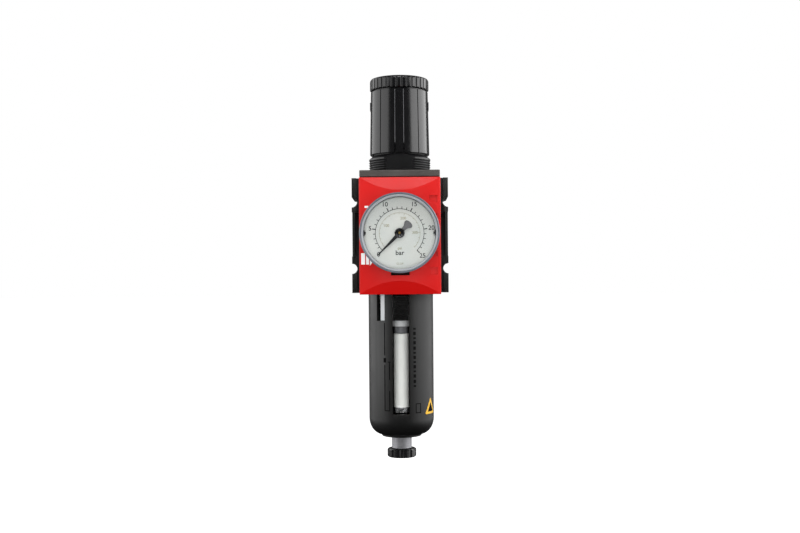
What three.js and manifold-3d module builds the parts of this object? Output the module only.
// Filter-regulator for compressed air: regulator with knob and gauge above a guarded filter bowl.
// Millimetres, +Z up. The origin is where the port axis (X) crosses the vertical axis of knob and bowl.
// The gauge faces -Y, the inlet is at -X and the outlet at +X.
import * as THREE from 'three';
import { mergeVertices } from 'three/addons/utils/BufferGeometryUtils.js';
import Module from 'manifold-3d';

const wasm = await Module();
wasm.setup();

// ---- Driving dimensions ----------------------------------------------------------------------

const ROUND = 24; // sides of a large turned piece
const SMALL_ROUND = 12; // sides of a small turned piece
const GAP = 0.3; // clearance between two pieces that meet

// body
const BODY_HALF_WIDTH = 26.7;
const BODY_HALF_DEPTH = 24;
const BODY_HALF_HEIGHT = 38.5;
const TOP_PLATE_TOP = 43;
const TOP_PLATE_HALF_DEPTH = 27;
const FLANGE_FACE = 32.2;
const FLANGE_HALF_DEPTH = 20;
const FLANGE_HALF_HEIGHT = 38.4;
const NOTCH_RADIUS = 3.4; // half-round notches for connecting screws
const NOTCH_HEIGHTS = [-22.2, 22.2];
const WAIST = [-14, 15.7]; // the stretch of the flange edge that is set back
const PORT_RADIUS = 9.3;
const GAUGE_PORT_RADIUS = 6.6;
const BONNET_BORE = 22;
const DIAPHRAGM_LEDGE = 34.5;
const CHAMBER_RADIUS = 18;
const CHAMBER_FLOOR = 24;
const VALVE_BORE = 7;
const SEAT_BORE = 9;
const SEAT_LEDGE = -5.7;
const HUB_RADIUS = 12;
const HUB_BOTTOM = -28;
const BOWL_BORE = 20.3;
const BOWL_BORE_TOP = -20;
const COLLAR_BORE = 21.5;
const COLLAR_BORE_TOP = -32.5;

// covers
const COVER_HALF_WIDTH = 27;
const COVER_EDGE_DEPTH = 27;
const COVER_MIDDLE_DEPTH = 31;
const COVER_WALL = 2.2;
const COVER_TOP = BODY_HALF_HEIGHT - GAP;
const FACET_HEIGHT = 9;
const GAUGE_HOLE = 8.2;

// bonnet, knob and adjusting train
const BONNET_THREAD = 21;
const BONNET_THREAD_TOP = 52.6;
const NECK_RADIUS = 18.2;
const FLAT_DEPTH = 18.4; // distance of the two spanner flats from the axis
const BONNET_TUBE = 17.5;
const BONNET_INSIDE = 15;
const BONNET_TOP = 92;
const KNOB_BOTTOM = 55.3;
const KNOB_SEAM = 99.5;
const KNOB_TOP = 107.5;
const KNOB_BOTTOM_RADIUS = 20.35;
const KNOB_SEAM_RADIUS = 19.5;
const GRIP_RADIUS = 20.1;
const GRIP_FLUTES = 36;
const SCREW_RADIUS = 4;
const SCREW_HEX = 8;
const NUT_BOTTOM = 78;
const SPRING_BOTTOM = 35.9;

// bowl, guard and drain
const BOWL_TOP = -24.3;
const BOWL_RADIUS = 18.9;
const BOWL_INSIDE = 16.9;
const BOWL_BOTTOM = -131.8;
const BOWL_FLOOR = -129.4;
const GUARD_TOP = -38.8;
const GUARD_RADIUS = 22.15;
const GUARD_INSIDE = 19.75;
const GUARD_BOTTOM = -136.5;
const GUARD_CURVE_TOP = -124;
const LIP_RADIUS = 13.7;
const WINDOW_HALF_WIDTH = 5.6;
const WINDOW_BOTTOM = -120;
const SLIDER_BOTTOM = -57;
const LOCK_SPRING_PLACE = [8.4, -18.9];
const DRAIN_NUT_RADIUS = 6.8;
const DRAIN_KNOB_TOP = -145.4;
const DRAIN_KNOB_BOTTOM = -151;
const DRAIN_KNOB_RADIUS = 9.9;

// filter
const NECK_BOTTOM = -66.4;
const ELEMENT_TOP = -66.7;
const ELEMENT_BOTTOM = -117.1;
const ELEMENT_RADIUS = 5.2;
const ROD_RADIUS = 1;

// gauge: distances "out" are measured forward from the vertical axis, along -Y
const BEZEL_RADIUS = 25.5;
const BEZEL_FRONT = 60.6;
const CASE_BACK = 37;
const CASE_FRONT = 56.4;
const CASE_RADIUS = 24.8;
const DIAL_BACK = 51.4;
const DIAL_RADIUS = 22.8;
const POINTER_BACK = 53.2;
const POINTER_REST_ANGLE = 225;
const SECTOR_PIVOT_UP = -10.2;
const TUBE_RADIUS = 18.4;

// ---- Solids ----------------------------------------------------------------------------------

const radians = (degrees) => THREE.MathUtils.degToRad(degrees);

// A closed geometry with shared corners, no empty triangles, and its faces pointing out.
function solidOf(geometry) {
  const bare = new THREE.BufferGeometry();
  bare.setAttribute('position', geometry.getAttribute('position'));
  bare.setIndex(geometry.index);
  const merged = mergeVertices(bare, 1e-4);
  const corners = merged.getAttribute('position');
  const kept = [];
  let volume = 0;
  const [a, b, c] = [new THREE.Vector3(), new THREE.Vector3(), new THREE.Vector3()];
  for (let i = 0; i < merged.index.count; i += 3) {
    const [p, q, r] = [0, 1, 2].map((k) => merged.index.getX(i + k));
    if (p === q || q === r || r === p) continue;
    kept.push(p, q, r);
    a.fromBufferAttribute(corners, p);
    b.fromBufferAttribute(corners, q);
    c.fromBufferAttribute(corners, r);
    volume += a.dot(b.cross(c));
  }
  if (volume < 0) kept.reverse();
  return new wasm.Manifold(
    new wasm.Mesh({
      numProp: 3,
      vertProperties: new Float32Array(corners.array),
      triVerts: new Uint32Array(kept),
    }),
  );
}

function geometryOf(solid) {
  const mesh = solid.getMesh();
  const geometry = new THREE.BufferGeometry();
  geometry.setAttribute('position', new THREE.BufferAttribute(mesh.vertProperties, 3));
  geometry.setIndex(new THREE.BufferAttribute(mesh.triVerts, 1));
  geometry.computeVertexNormals();
  return geometry;
}

function joined(...geometries) {
  return geometryOf(geometries.map(solidOf).reduce((all, next) => all.add(next)));
}

function cut(geometry, ...tools) {
  return geometryOf(tools.map(solidOf).reduce((left, tool) => left.subtract(tool), solidOf(geometry)));
}

function common(first, second) {
  return geometryOf(solidOf(first).intersect(solidOf(second)));
}

function box([x0, x1], [y0, y1], [z0, z1]) {
  const geometry = new THREE.BoxGeometry(x1 - x0, y1 - y0, z1 - z0);
  return geometry.translate((x0 + x1) / 2, (y0 + y1) / 2, (z0 + z1) / 2);
}

// Turned about Z from a list of [radius, z].
function turned(profile, sides = ROUND) {
  const points = profile.map(([r, z]) => new THREE.Vector2(r, z));
  return new THREE.LatheGeometry(points, sides).rotateX(Math.PI / 2);
}

const ring = (profile, sides) => turned([...profile, profile[0]], sides);

const rod = (radius, z0, z1, sides = ROUND) =>
  turned([[0, z0], [radius, z0], [radius, z1], [0, z1]], sides);

const tube = (outer, inner, z0, z1, sides) =>
  ring([[inner, z0], [outer, z0], [outer, z1], [inner, z1]], sides);

// A rubber ring of round section.
function rubberRing(radius, section, z, sides = ROUND) {
  const corners = 6;
  const profile = [];
  for (let i = 0; i < corners; i++) {
    const angle = (2 * Math.PI * (i + 0.5)) / corners;
    profile.push([radius + section * Math.cos(angle), z + section * Math.sin(angle)]);
  }
  return ring(profile, sides);
}

// An outline in the XY plane, drawn up from z0 to z1.
function prism(outline, z0, z1) {
  const shape = new THREE.Shape(outline.map(([x, y]) => new THREE.Vector2(x, y)));
  const geometry = new THREE.ExtrudeGeometry(shape, { depth: z1 - z0, bevelEnabled: false });
  return geometry.translate(0, 0, z0);
}

function arc(radius, fromDegrees, toDegrees, steps, [cx, cy] = [0, 0]) {
  const points = [];
  for (let i = 0; i <= steps; i++) {
    const angle = radians(fromDegrees + ((toDegrees - fromDegrees) * i) / steps);
    points.push([cx + radius * Math.cos(angle), cy + radius * Math.sin(angle)]);
  }
  return points;
}

// Part of a ring, between two angles counted from +X.
function ringSector(inner, outer, fromDegrees, toDegrees, z0, z1, steps = 10) {
  const outside = arc(outer, fromDegrees, toDegrees, steps);
  const inside = arc(inner, toDegrees, fromDegrees, steps);
  return prism([...outside, ...inside], z0, z1);
}

// A round outline whose radius changes between two values, count times round.
function lobed(tip, root, count, stepsPerLobe) {
  const total = count * stepsPerLobe;
  const points = [];
  for (let i = 0; i < total; i++) {
    const angle = (2 * Math.PI * i) / total;
    const radius = (tip + root) / 2 + ((tip - root) / 2) * Math.cos(count * angle);
    points.push([radius * Math.cos(angle), radius * Math.sin(angle)]);
  }
  return points;
}

const hexagon = (acrossFlats) => arc(acrossFlats / 2 / Math.cos(Math.PI / 6), 0, 300, 5);

// A coil spring of round wire, standing between z0 and z1.
function coil(radius, wire, turns, z0, z1, stepsPerTurn = 12) {
  const low = z0 + wire;
  const high = z1 - wire;
  class Helix extends THREE.Curve {
    getPoint(t, target = new THREE.Vector3()) {
      const angle = 2 * Math.PI * turns * t;
      return target.set(radius * Math.cos(angle), radius * Math.sin(angle), low + (high - low) * t);
    }
  }
  const section = new THREE.Shape(arc(wire, 0, 288, 4).map(([x, y]) => new THREE.Vector2(x, y)));
  return new THREE.ExtrudeGeometry(section, {
    extrudePath: new Helix(),
    steps: Math.round(turns * stepsPerTurn),
    bevelEnabled: false,
  });
}

// Turns a piece drawn about Z so that it runs along +X, or faces front along -Y.
const alongX = (geometry) => geometry.rotateY(Math.PI / 2);
const facingFront = (geometry) => geometry.rotateX(Math.PI / 2);
const facingBack = (geometry) => geometry.rotateX(-Math.PI / 2);
const turnedRound = (geometry) => geometry.rotateZ(Math.PI);

// ---- Body and covers -------------------------------------------------------------------------

function flange(side) {
  const plate = box([25, FLANGE_FACE], [-FLANGE_HALF_DEPTH, FLANGE_HALF_DEPTH],
    [-FLANGE_HALF_HEIGHT, FLANGE_HALF_HEIGHT]);
  const tools = NOTCH_HEIGHTS.map((z) =>
    facingFront(rod(NOTCH_RADIUS, -30, 30, SMALL_ROUND)).translate(FLANGE_FACE, 0, z));
  for (const face of [-1, 1]) {
    const outer = face * (FLANGE_HALF_DEPTH + 1);
    const between = (depth) => [outer, face * (FLANGE_HALF_DEPTH - depth)].sort((a, b) => a - b);
    tools.push(box([COVER_HALF_WIDTH, 29], between(2), [-40, 40]));
    tools.push(box([26, 30.2], between(6), WAIST));
    tools.push(box([31.2, 34], between(6), WAIST));
  }
  const piece = cut(plate, ...tools);
  return side < 0 ? turnedRound(piece) : piece;
}

function body() {
  const block = joined(
    box([-BODY_HALF_WIDTH, BODY_HALF_WIDTH], [-BODY_HALF_DEPTH, BODY_HALF_DEPTH],
      [-BODY_HALF_HEIGHT, TOP_PLATE_TOP - 1]),
    box([-BODY_HALF_WIDTH, BODY_HALF_WIDTH], [-TOP_PLATE_HALF_DEPTH, TOP_PLATE_HALF_DEPTH],
      [BODY_HALF_HEIGHT, TOP_PLATE_TOP]),
    flange(-1),
    flange(1),
  );
  const below = -BODY_HALF_HEIGHT - 1;
  const above = TOP_PLATE_TOP + 1;
  const uprightBore = turned([
    [0, below], [COLLAR_BORE, below], [COLLAR_BORE, COLLAR_BORE_TOP], [BOWL_BORE, COLLAR_BORE_TOP],
    [BOWL_BORE, BOWL_BORE_TOP], [HUB_RADIUS, BOWL_BORE_TOP], [HUB_RADIUS, HUB_BOTTOM],
    [SEAT_BORE, HUB_BOTTOM], [SEAT_BORE, SEAT_LEDGE], [VALVE_BORE, SEAT_LEDGE],
    [VALVE_BORE, CHAMBER_FLOOR], [CHAMBER_RADIUS, CHAMBER_FLOOR], [CHAMBER_RADIUS, DIAPHRAGM_LEDGE],
    [BONNET_BORE, DIAPHRAGM_LEDGE], [BONNET_BORE, above], [0, above],
  ]);
  const lugRecesses = [-18, 162].map((angle) =>
    ringSector(19, 22.9, angle, angle + 81, below, COLLAR_BORE_TOP - 0.2, 6));
  return cut(
    block,
    uprightBore,
    ...lugRecesses,
    alongX(rod(PORT_RADIUS, 12, FLANGE_FACE + 1)),
    alongX(rod(PORT_RADIUS, -FLANGE_FACE - 1, -12)),
    alongX(rod(5, 0, 13, SMALL_ROUND)),
    rod(4.5, BOWL_BORE_TOP - 1, 0, SMALL_ROUND).translate(-15.5, 0, 0),
    facingFront(rod(GAUGE_PORT_RADIUS, 2, BODY_HALF_DEPTH + 1, SMALL_ROUND)),
    facingBack(rod(GAUGE_PORT_RADIUS, 2, BODY_HALF_DEPTH + 1, SMALL_ROUND)),
  );
}

// The bulged block that a cover is made from, with every face set in by inset, and its back open.
function bulge(inset, back) {
  const rise = COVER_MIDDLE_DEPTH - COVER_EDGE_DEPTH;
  const radius = (COVER_HALF_WIDTH ** 2 + rise ** 2) / (2 * rise);
  const centre = radius - COVER_MIDDLE_DEPTH;
  const half = COVER_HALF_WIDTH - inset;
  const spread = THREE.MathUtils.radToDeg(Math.asin(half / (radius - inset)));
  const front = arc(radius - inset, -90 - spread, -90 + spread, 16, [0, centre]);
  const bottom = -BODY_HALF_HEIGHT + inset;
  const block = prism([[-half, -back], ...front, [half, -back]], bottom, COVER_TOP - inset);
  const slope = rise / FACET_HEIGHT;
  const facet = (up) => {
    const edge = up > 0 ? BODY_HALF_HEIGHT : -BODY_HALF_HEIGHT;
    const y = (z) => -COVER_EDGE_DEPTH + inset * Math.hypot(1, slope) - Math.abs(edge - z) * slope;
    const [z0, z1] = [edge + up * 2, edge - up * 14];
    const yEdge = y(edge) + 2 * slope;
    const outline = [[yEdge, z0], [y(z1), z1], [-50, z1], [-50, z0]];
    const wedge = prism(outline, -40, 40);
    const [x, y1, z] = [new THREE.Vector3(1, 0, 0), new THREE.Vector3(0, 1, 0), new THREE.Vector3(0, 0, 1)];
    return wedge.applyMatrix4(new THREE.Matrix4().makeBasis(y1, z, x));
  };
  return cut(block, facet(1), facet(-1));
}

function coverShell() {
  return cut(bulge(0, BODY_HALF_DEPTH + GAP), bulge(COVER_WALL, BODY_HALF_DEPTH - 2));
}

function frontCover() {
  const slot = box([-6.15, 6.15], [-40, -20], [-26.8, 0]);
  const squares = [23.5, 11.6, -0.3, -12.2, -24].map((z) =>
    box([19.4, 24.3], [-35, -27.2], [z - 2.65, z + 2.65]));
  return cut(coverShell(), facingFront(rod(GAUGE_HOLE, 20, 40)), slot, ...squares);
}

const rearCover = () => turnedRound(cut(coverShell(), facingFront(rod(GAUGE_HOLE, 20, 40))));

// ---- Bonnet, adjusting train and knob --------------------------------------------------------

function bonnet() {
  const shell = ring([
    [BONNET_INSIDE, 36.3], [BONNET_BORE - GAP, 36.3], [BONNET_BORE - GAP, 42.4],
    [BONNET_THREAD, 43.1], [BONNET_THREAD, BONNET_THREAD_TOP], [NECK_RADIUS, 54.9],
    [NECK_RADIUS, 57.5], [BONNET_TUBE, 57.5], [BONNET_TUBE, BONNET_TOP], [4.5, BONNET_TOP],
    [4.5, 89], [BONNET_INSIDE, 89],
  ]);
  const flats = [-1, 1].map((side) =>
    box([-12, 12], side < 0 ? [-24, -FLAT_DEPTH] : [FLAT_DEPTH, 24], [TOP_PLATE_TOP + 0.4, 56]));
  const keyway = box([-1.8, 1.8], [-16.3, 16.3], [62, 88]);
  return cut(shell, ...flats, keyway);
}

function adjustingScrew() {
  return joined(
    rod(SCREW_RADIUS, 66, 92.5, SMALL_ROUND),
    rod(8, 85.5, 87.6, SMALL_ROUND),
    prism(hexagon(SCREW_HEX), 92, 103.5),
  );
}

const thrustWasher = () => tube(9, SCREW_RADIUS + GAP, 87.9, 88.7, SMALL_ROUND);

function adjustingNut() {
  const disc = rod(14.2, NUT_BOTTOM, NUT_BOTTOM + 5);
  const keys = box([-1.5, 1.5], [-15.9, 15.9], [NUT_BOTTOM, NUT_BOTTOM + 5]);
  return cut(joined(disc, keys), rod(SCREW_RADIUS + GAP, 70, 90, SMALL_ROUND));
}

const mainSpring = () => coil(12, 1.5, 7, SPRING_BOTTOM, NUT_BOTTOM - GAP);

const diaphragm = () => ring([
  [2.4, 31.7], [15.2, 31.7], [17.3, 34.8], [BONNET_BORE - GAP, 34.8],
  [BONNET_BORE - GAP, 36], [16.6, 36], [14.6, 32.9], [2.4, 32.9],
]);

const diaphragmPlate = () => ring([
  [1.2, 33.2], [14.2, 33.2], [14.2, 35.6], [9.8, 35.6], [9.8, 39], [1.2, 39],
]);

function knobBarrel() {
  const shell = turned([
    [0, 93], [7.5, 93], [7.5, 95.8], [18, 95.8], [18, 58], [18.6, 58], [18.6, KNOB_BOTTOM],
    [KNOB_BOTTOM_RADIUS, KNOB_BOTTOM], [KNOB_SEAM_RADIUS, KNOB_SEAM - GAP], [0, KNOB_SEAM - GAP],
  ]);
  return cut(shell, prism(hexagon(SCREW_HEX + 2 * GAP), 92, KNOB_SEAM + 1));
}

function knobGripRing() {
  const outside = prism(lobed(GRIP_RADIUS, GRIP_RADIUS - 0.6, GRIP_FLUTES, 2), KNOB_SEAM, KNOB_TOP);
  return cut(outside, rod(14, 101, KNOB_TOP + 1), rod(5.2, KNOB_SEAM - 1, 102, SMALL_ROUND));
}

const knobCap = () => rod(13.6, 104.8, 106.8);

// ---- Valve -----------------------------------------------------------------------------------

const valveStem = () => rod(1.6, -16, 32.9, SMALL_ROUND);

const valveCone = () => ring([
  [1.9, -17.5], [3.4, -17.5], [3.4, -12.6], [6.6, -12.6], [6.6, -11.2], [1.9, -11.2],
], SMALL_ROUND);

const valveSeal = () => tube(6.4, 1.9, -10.9, -9.4, SMALL_ROUND);

const valveSeat = () => tube(SEAT_BORE - GAP, 4.6, -9.1, SEAT_LEDGE - GAP);

const valveSpring = () => coil(4.6, 0.5, 6, -29.6, -12.9, 10);

function valveGuide() {
  const tubeBody = ring([
    [3.2, NECK_BOTTOM], [4.7, NECK_BOTTOM], [4.7, -50], [6.8, -50], [6.8, -38], [10.5, -38],
    [10.5, -36], [8.6, -36], [8.6, -20.2], [7.9, -20.2], [7.9, -18], [8.6, -18], [8.6, -9.5],
    [7.2, -9.5], [7.2, -30], [3.2, -30],
  ]);
  const bar = box([-4, 4], [-2.2, 2.2], [-44, -41]);
  return cut(joined(tubeBody, bar), rod(ROD_RADIUS + GAP, -45, -40, SMALL_ROUND));
}

const valveGuideRing = () => rubberRing(8.45, 0.37, -19.1);

// ---- Filter ----------------------------------------------------------------------------------

function swirlInsert() {
  const sleeve = ring([
    [5, -61.7], [6.3, -61.7], [6.3, -57.3], [9.2, -51.5], [9.2, -38.4], [7.1, -38.4],
    [7.1, -50.3], [5, -50.3],
  ]);
  const vanes = [];
  const vaneCount = 8;
  for (let i = 0; i < vaneCount; i++) {
    const vane = box([8.6, 16.1], [-0.6, 0.6], [-46, -40]);
    const tilt = new THREE.Matrix4().makeRotationX(radians(25));
    const place = new THREE.Matrix4().makeTranslation(0, 0, -43);
    const back = new THREE.Matrix4().makeTranslation(0, 0, 43);
    vane.applyMatrix4(place.multiply(tilt).multiply(back));
    vanes.push(vane.rotateZ((2 * Math.PI * i) / vaneCount));
  }
  return joined(sleeve, ...vanes);
}

const filterElement = () => tube(ELEMENT_RADIUS, 3.2, ELEMENT_BOTTOM, ELEMENT_TOP);

function elementRetainer() {
  const cup = ring([
    [2, -121], [4.7, -121], [4.7, ELEMENT_BOTTOM - GAP], [2.9, ELEMENT_BOTTOM - GAP], [2.9, -114],
    [ROD_RADIUS + GAP, -114], [ROD_RADIUS + GAP, -118.7], [2, -118.7],
  ], SMALL_ROUND);
  return cut(cup, box([-1.7, 1.7], [-6, 0], [-122, -118.4]));
}

const elementScrew = () => turned([
  [0, -120.9], [1.7, -120.9], [1.7, -119], [ROD_RADIUS, -119], [ROD_RADIUS, -39.5], [0, -39.5],
], SMALL_ROUND);

// ---- Bowl and guard --------------------------------------------------------------------------

// A quarter of an ellipse from straight out to straight down.
function quarter(centreRadius, centreZ, across, down, steps = 4) {
  const points = [];
  for (let i = 0; i <= steps; i++) {
    const angle = (Math.PI / 2) * (i / steps);
    points.push([centreRadius + across * Math.cos(angle), centreZ - down * Math.sin(angle)]);
  }
  return points;
}

function bowl() {
  const outside = quarter(11.2, -120.5, BOWL_RADIUS - 11.2, -120.5 - BOWL_BOTTOM);
  const inside = quarter(9.5, -118.5, BOWL_INSIDE - 9.5, -118.5 - BOWL_FLOOR).reverse();
  const shell = ring([
    [BOWL_INSIDE, BOWL_TOP], [19.4, BOWL_TOP], [19.4, -28.6], [17.9, -28.6], [17.9, -31.2],
    [19.4, -31.2], [19.4, -38], [BOWL_RADIUS, -38.5], ...outside, [4.6, BOWL_BOTTOM],
    [4.6, BOWL_FLOOR], ...inside,
  ]);
  const keyRib = ringSector(18.2, 21.6, -128.5, -120, SLIDER_BOTTOM, GUARD_TOP - GAP, 4);
  return joined(shell, keyRib);
}

const bowlRing = () => rubberRing(19.1, 0.95, -29.9);

function bowlGuard() {
  const outside = quarter(LIP_RADIUS, GUARD_CURVE_TOP, GUARD_RADIUS - LIP_RADIUS, 11.1);
  const inside = quarter(11.8, -123.5, GUARD_INSIDE - 11.8, 10.1).reverse();
  const shell = ring([
    [GUARD_INSIDE, -33], [21.2, -33], [21.2, GUARD_TOP], [GUARD_RADIUS, GUARD_TOP], ...outside,
    [LIP_RADIUS, GUARD_BOTTOM], [7.2, GUARD_BOTTOM], [7.2, -133.6], ...inside,
  ]);
  const lugs = [0, 180].map((angle) => ringSector(20.3, 22.6, angle - 14, angle + 14, -36, -33.3, 6));
  const window = box([-WINDOW_HALF_WIDTH, WINDOW_HALF_WIDTH], [-30, -10], [WINDOW_BOTTOM, -30]);
  const keySlot = ringSector(15, 25, -136.6, -119.2, -57.3, -30, 4);
  const springPocket = box([5, 9.7], [-19.9, -14], [-59.3, -44.3]);
  return cut(joined(shell, ...lugs), window, keySlot, springPocket);
}

function lockSlider() {
  const half = WINDOW_HALF_WIDTH - GAP;
  const plate = common(
    tube(22.4, 19.2, SLIDER_BOTTOM, GUARD_TOP - 0.4),
    box([-half, half], [-30, -10], [-60, -30]),
  );
  const tongue = common(tube(21.1, 19.9, -41, -35.5), box([-3, 3], [-30, -10], [-60, -30]));
  const wing = box([5, 9.3], [-19.5, -18.6], [-46.7, -44.6]);
  return joined(plate, tongue, wing);
}

function lockSpring() {
  const [x, y] = LOCK_SPRING_PLACE;
  return coil(0.55, 0.15, 5, -59, -47, 8).translate(x, y, 0);
}

// ---- Drain -----------------------------------------------------------------------------------

const drainBody = () => ring([
  [2.4, -144.5], [4.2, -144.5], [4.2, -127.4], [8, -127.4], [8, -125.6], [1.2, -125.6],
  [1.2, -129], [2.4, -130],
], SMALL_ROUND);

const drainRing = () => rubberRing(6, 0.7, -128.4, SMALL_ROUND);

const drainNut = () => tube(DRAIN_NUT_RADIUS, 4.5, DRAIN_KNOB_TOP + GAP, BOWL_BOTTOM - GAP);

const drainStem = () => turned([
  [0, -134], [0.9, -134], [0.9, -149.5], [1.9, -149.5], [1.9, -131.5], [0.9, -130.4], [0, -130.4],
], SMALL_ROUND);

function drainKnob() {
  const lobes = prism(lobed(DRAIN_KNOB_RADIUS, DRAIN_KNOB_RADIUS - 1, 10, 4),
    DRAIN_KNOB_BOTTOM, DRAIN_KNOB_TOP);
  return cut(lobes, rod(2.2, -152, -145, SMALL_ROUND));
}

// ---- Gauge, drawn facing +Z and then turned to the front ---------------------------------------

function gaugeSocket() {
  const outside = joined(
    rod(6.3, 12.3, 38.7, SMALL_ROUND),
    prism(hexagon(13.8), 26.5, 36.6),
    box([-7, 7], [-7, 7], [38.7, 43]),
    box([-4, 4], [-19, -5], [38.7, 41.2]),
  );
  return facingFront(cut(outside, rod(1.5, 10, 41.5, SMALL_ROUND)));
}

const gaugeGasket = () => facingFront(tube(7.9, 6.6, BODY_HALF_DEPTH + GAP, 26.2, SMALL_ROUND));

const gaugeCase = () => facingFront(ring([
  [6.6, CASE_BACK], [24, CASE_BACK], [CASE_RADIUS, 38], [CASE_RADIUS, CASE_FRONT],
  [23.6, CASE_FRONT], [23.6, 38.4], [6.6, 38.4],
]));

const gaugeDial = () => facingFront(tube(DIAL_RADIUS, 1.6, DIAL_BACK, DIAL_BACK + 0.6));

function gaugePointer() {
  const needle = prism([[0, -1.3], [20, -0.25], [20, 0.25], [0, 1.3]], POINTER_BACK, POINTER_BACK + 0.6);
  const hub = rod(3.2, POINTER_BACK, POINTER_BACK + 0.6, SMALL_ROUND);
  const tail = prism([[0, 0], ...arc(9.3, 161, 199, 6)], POINTER_BACK, POINTER_BACK + 0.6);
  const plate = cut(joined(needle, hub, tail), rod(0.9, 50, 56, 12));
  return facingFront(plate.rotateZ(radians(POINTER_REST_ANGLE)));
}

const gaugeWindow = () => facingFront(rod(24.7, 57, 59.3));

const gaugeBezel = () => facingFront(ring([
  [22.9, BEZEL_FRONT], [BEZEL_RADIUS, BEZEL_FRONT], [BEZEL_RADIUS, 50], [25.1, 50],
  [25.1, 59.6], [22.9, 59.6],
]));

const bourdonTube = () => facingFront(ringSector(TUBE_RADIUS - 0.9, TUBE_RADIUS + 0.9, -10, 260, 41.5, 46, 28));

function movementPlates() {
  const outline = [[-5.2, -14.5], [5.2, -14.5], [5.2, 4.2], [-5.2, 4.2]];
  const pillars = [[-4.2, 3], [4.2, 3], [-4.2, -13.3]].map(([x, y]) =>
    rod(0.8, 44, 50, 10).translate(x, y, 0));
  const plates = joined(prism(outline, 43.3, 44.3), prism(outline, 49.6, 50.4), ...pillars);
  return facingFront(cut(plates, rod(0.9, 40, 52, 12)));
}

function sectorGear() {
  const [z0, z1] = [46.6, 47.6];
  const teeth = [];
  const toothCount = 22;
  for (let i = 0; i <= toothCount; i++) {
    const angle = 50 + i * 2;
    teeth.push(...arc(i % 2 ? 8.7 : 8.3, angle, angle + 2, 1));
  }
  const sector = prism([[-0.9, 0], [0.9, 0], ...teeth], z0, z1);
  const hub = rod(1.6, z0, z1, 12);
  const pivot = rod(0.8, 44.6, 49.3, 12);
  const tail = prism([[0, -0.8], [6.6, -0.8], [6.6, 0.8], [0, 0.8]], z0, z1).rotateZ(radians(-5));
  const gear = joined(sector, hub, pivot, tail).rotateZ(radians(18));
  return facingFront(gear.translate(0, SECTOR_PIVOT_UP, 0));
}

function pinionArbor() {
  const pinion = prism(lobed(1.35, 1.05, 8, 4), 46.3, 47.9);
  return facingFront(joined(rod(0.6, 43.6, 54.3, 12), pinion));
}

function tubeLink() {
  const [x0, y0] = [6.4, SECTOR_PIVOT_UP + 1.5];
  const [x1, y1] = [TUBE_RADIUS * Math.cos(radians(-8)), TUBE_RADIUS * Math.sin(radians(-8))];
  const length = Math.hypot(x1 - x0, y1 - y0);
  const bar = prism([[-1, -0.6], [length + 0.8, -0.6], [length + 0.8, 0.6], [-1, 0.6]], 47.9, 48.7);
  const post = rod(0.5, 46.3, 48.3, 10).translate(length, 0, 0);
  const link = joined(bar, post).rotateZ(Math.atan2(y1 - y0, x1 - x0));
  return facingFront(link.translate(x0, y0, 0));
}

// ---- Plug in the second gauge port -----------------------------------------------------------

function portPlug() {
  const shape = joined(rod(6.3, 12.3, 26, SMALL_ROUND), rod(7.8, 25.8, 30.4, SMALL_ROUND));
  return facingBack(cut(shape, prism(hexagon(6), 25, 32)));
}

const plugGasket = () => facingBack(tube(7.9, 6.6, BODY_HALF_DEPTH + GAP, 25.5, SMALL_ROUND));

// ---- Assembly --------------------------------------------------------------------------------

const FINISHES = {
  blackMetal: [0x27272a, 0.55, 0.4],
  redPlastic: [0xd42625, 0.42, 0],
  blackPlastic: [0x2a2a2a, 0.5, 0],
  guardPlastic: [0x3c3c3d, 0.62, 0],
  steel: [0xb4b6b8, 0.35, 0.9],
  brass: [0xc9a557, 0.35, 0.9],
  rubber: [0x1c1c1c, 0.8, 0],
  greyPlastic: [0xa8a9ab, 0.5, 0],
  darkGreyPlastic: [0x4b4c4e, 0.5, 0],
  filterWhite: [0xe4e5e0, 0.85, 0],
  clearPlastic: [0xe6ecee, 0.1, 0],
  dialWhite: [0xecede7, 0.6, 0],
  rimGrey: [0x88898c, 0.3, 0],
};

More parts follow.
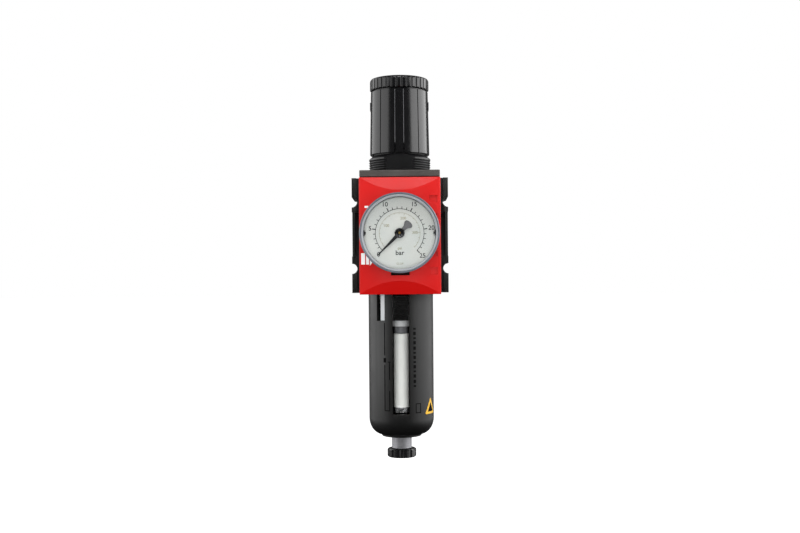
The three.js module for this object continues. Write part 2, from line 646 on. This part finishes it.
const PIECES = [
  ['body', body, 'blackMetal'],
  ['front_cover', frontCover, 'redPlastic'],
  ['rear_cover', rearCover, 'redPlastic'],
  ['bonnet', bonnet, 'blackPlastic'],
  ['adjusting_screw', adjustingScrew, 'steel'],
  ['thrust_washer', thrustWasher, 'steel'],
  ['adjusting_nut', adjustingNut, 'brass'],
  ['main_spring', mainSpring, 'steel'],
  ['diaphragm', diaphragm, 'rubber'],
  ['diaphragm_plate', diaphragmPlate, 'steel'],
  ['knob_barrel', knobBarrel, 'blackPlastic'],
  ['knob_grip_ring', knobGripRing, 'blackPlastic'],
  ['knob_cap', knobCap, 'blackPlastic'],
  ['valve_stem', valveStem, 'steel'],
  ['valve_cone', valveCone, 'brass'],
  ['valve_seal', valveSeal, 'rubber'],
  ['valve_seat', valveSeat, 'brass'],
  ['valve_spring', valveSpring, 'steel'],
  ['valve_guide', valveGuide, 'darkGreyPlastic'],
  ['valve_guide_o_ring', valveGuideRing, 'rubber'],
  ['swirl_insert', swirlInsert, 'greyPlastic'],
  ['filter_element', filterElement, 'filterWhite'],
  ['element_retainer', elementRetainer, 'darkGreyPlastic'],
  ['element_screw', elementScrew, 'steel'],
  ['bowl', bowl, 'clearPlastic'],
  ['bowl_o_ring', bowlRing, 'rubber'],
  ['bowl_guard', bowlGuard, 'guardPlastic'],
  ['lock_slider', lockSlider, 'blackPlastic'],
  ['lock_spring', lockSpring, 'steel'],
  ['drain_body', drainBody, 'brass'],
  ['drain_o_ring', drainRing, 'rubber'],
  ['drain_nut', drainNut, 'steel'],
  ['drain_stem', drainStem, 'brass'],
  ['drain_knob', drainKnob, 'blackPlastic'],
  ['gauge_socket', gaugeSocket, 'brass'],
  ['gauge_gasket', gaugeGasket, 'rubber'],
  ['gauge_case', gaugeCase, 'blackPlastic'],
  ['gauge_dial', gaugeDial, 'dialWhite'],
  ['gauge_pointer', gaugePointer, 'blackPlastic'],
  ['gauge_window', gaugeWindow, 'clearPlastic'],
  ['gauge_bezel', gaugeBezel, 'rimGrey'],
  ['bourdon_tube', bourdonTube, 'brass'],
  ['movement_plates', movementPlates, 'brass'],
  ['sector_gear', sectorGear, 'brass'],
  ['pinion_arbor', pinionArbor, 'brass'],
  ['tube_link', tubeLink, 'steel'],
  ['port_plug', portPlug, 'steel'],
  ['plug_gasket', plugGasket, 'rubber'],
];

const group = new THREE.Group();
for (const [name, shape, finish] of PIECES) {
  const [color, roughness, metalness] = FINISHES[finish];
  const material = new THREE.MeshStandardMaterial({ color, roughness, metalness });
  const mesh = new THREE.Mesh(geometryOf(solidOf(shape())), material);
  mesh.name = name;
  group.add(mesh);
}

export default group;
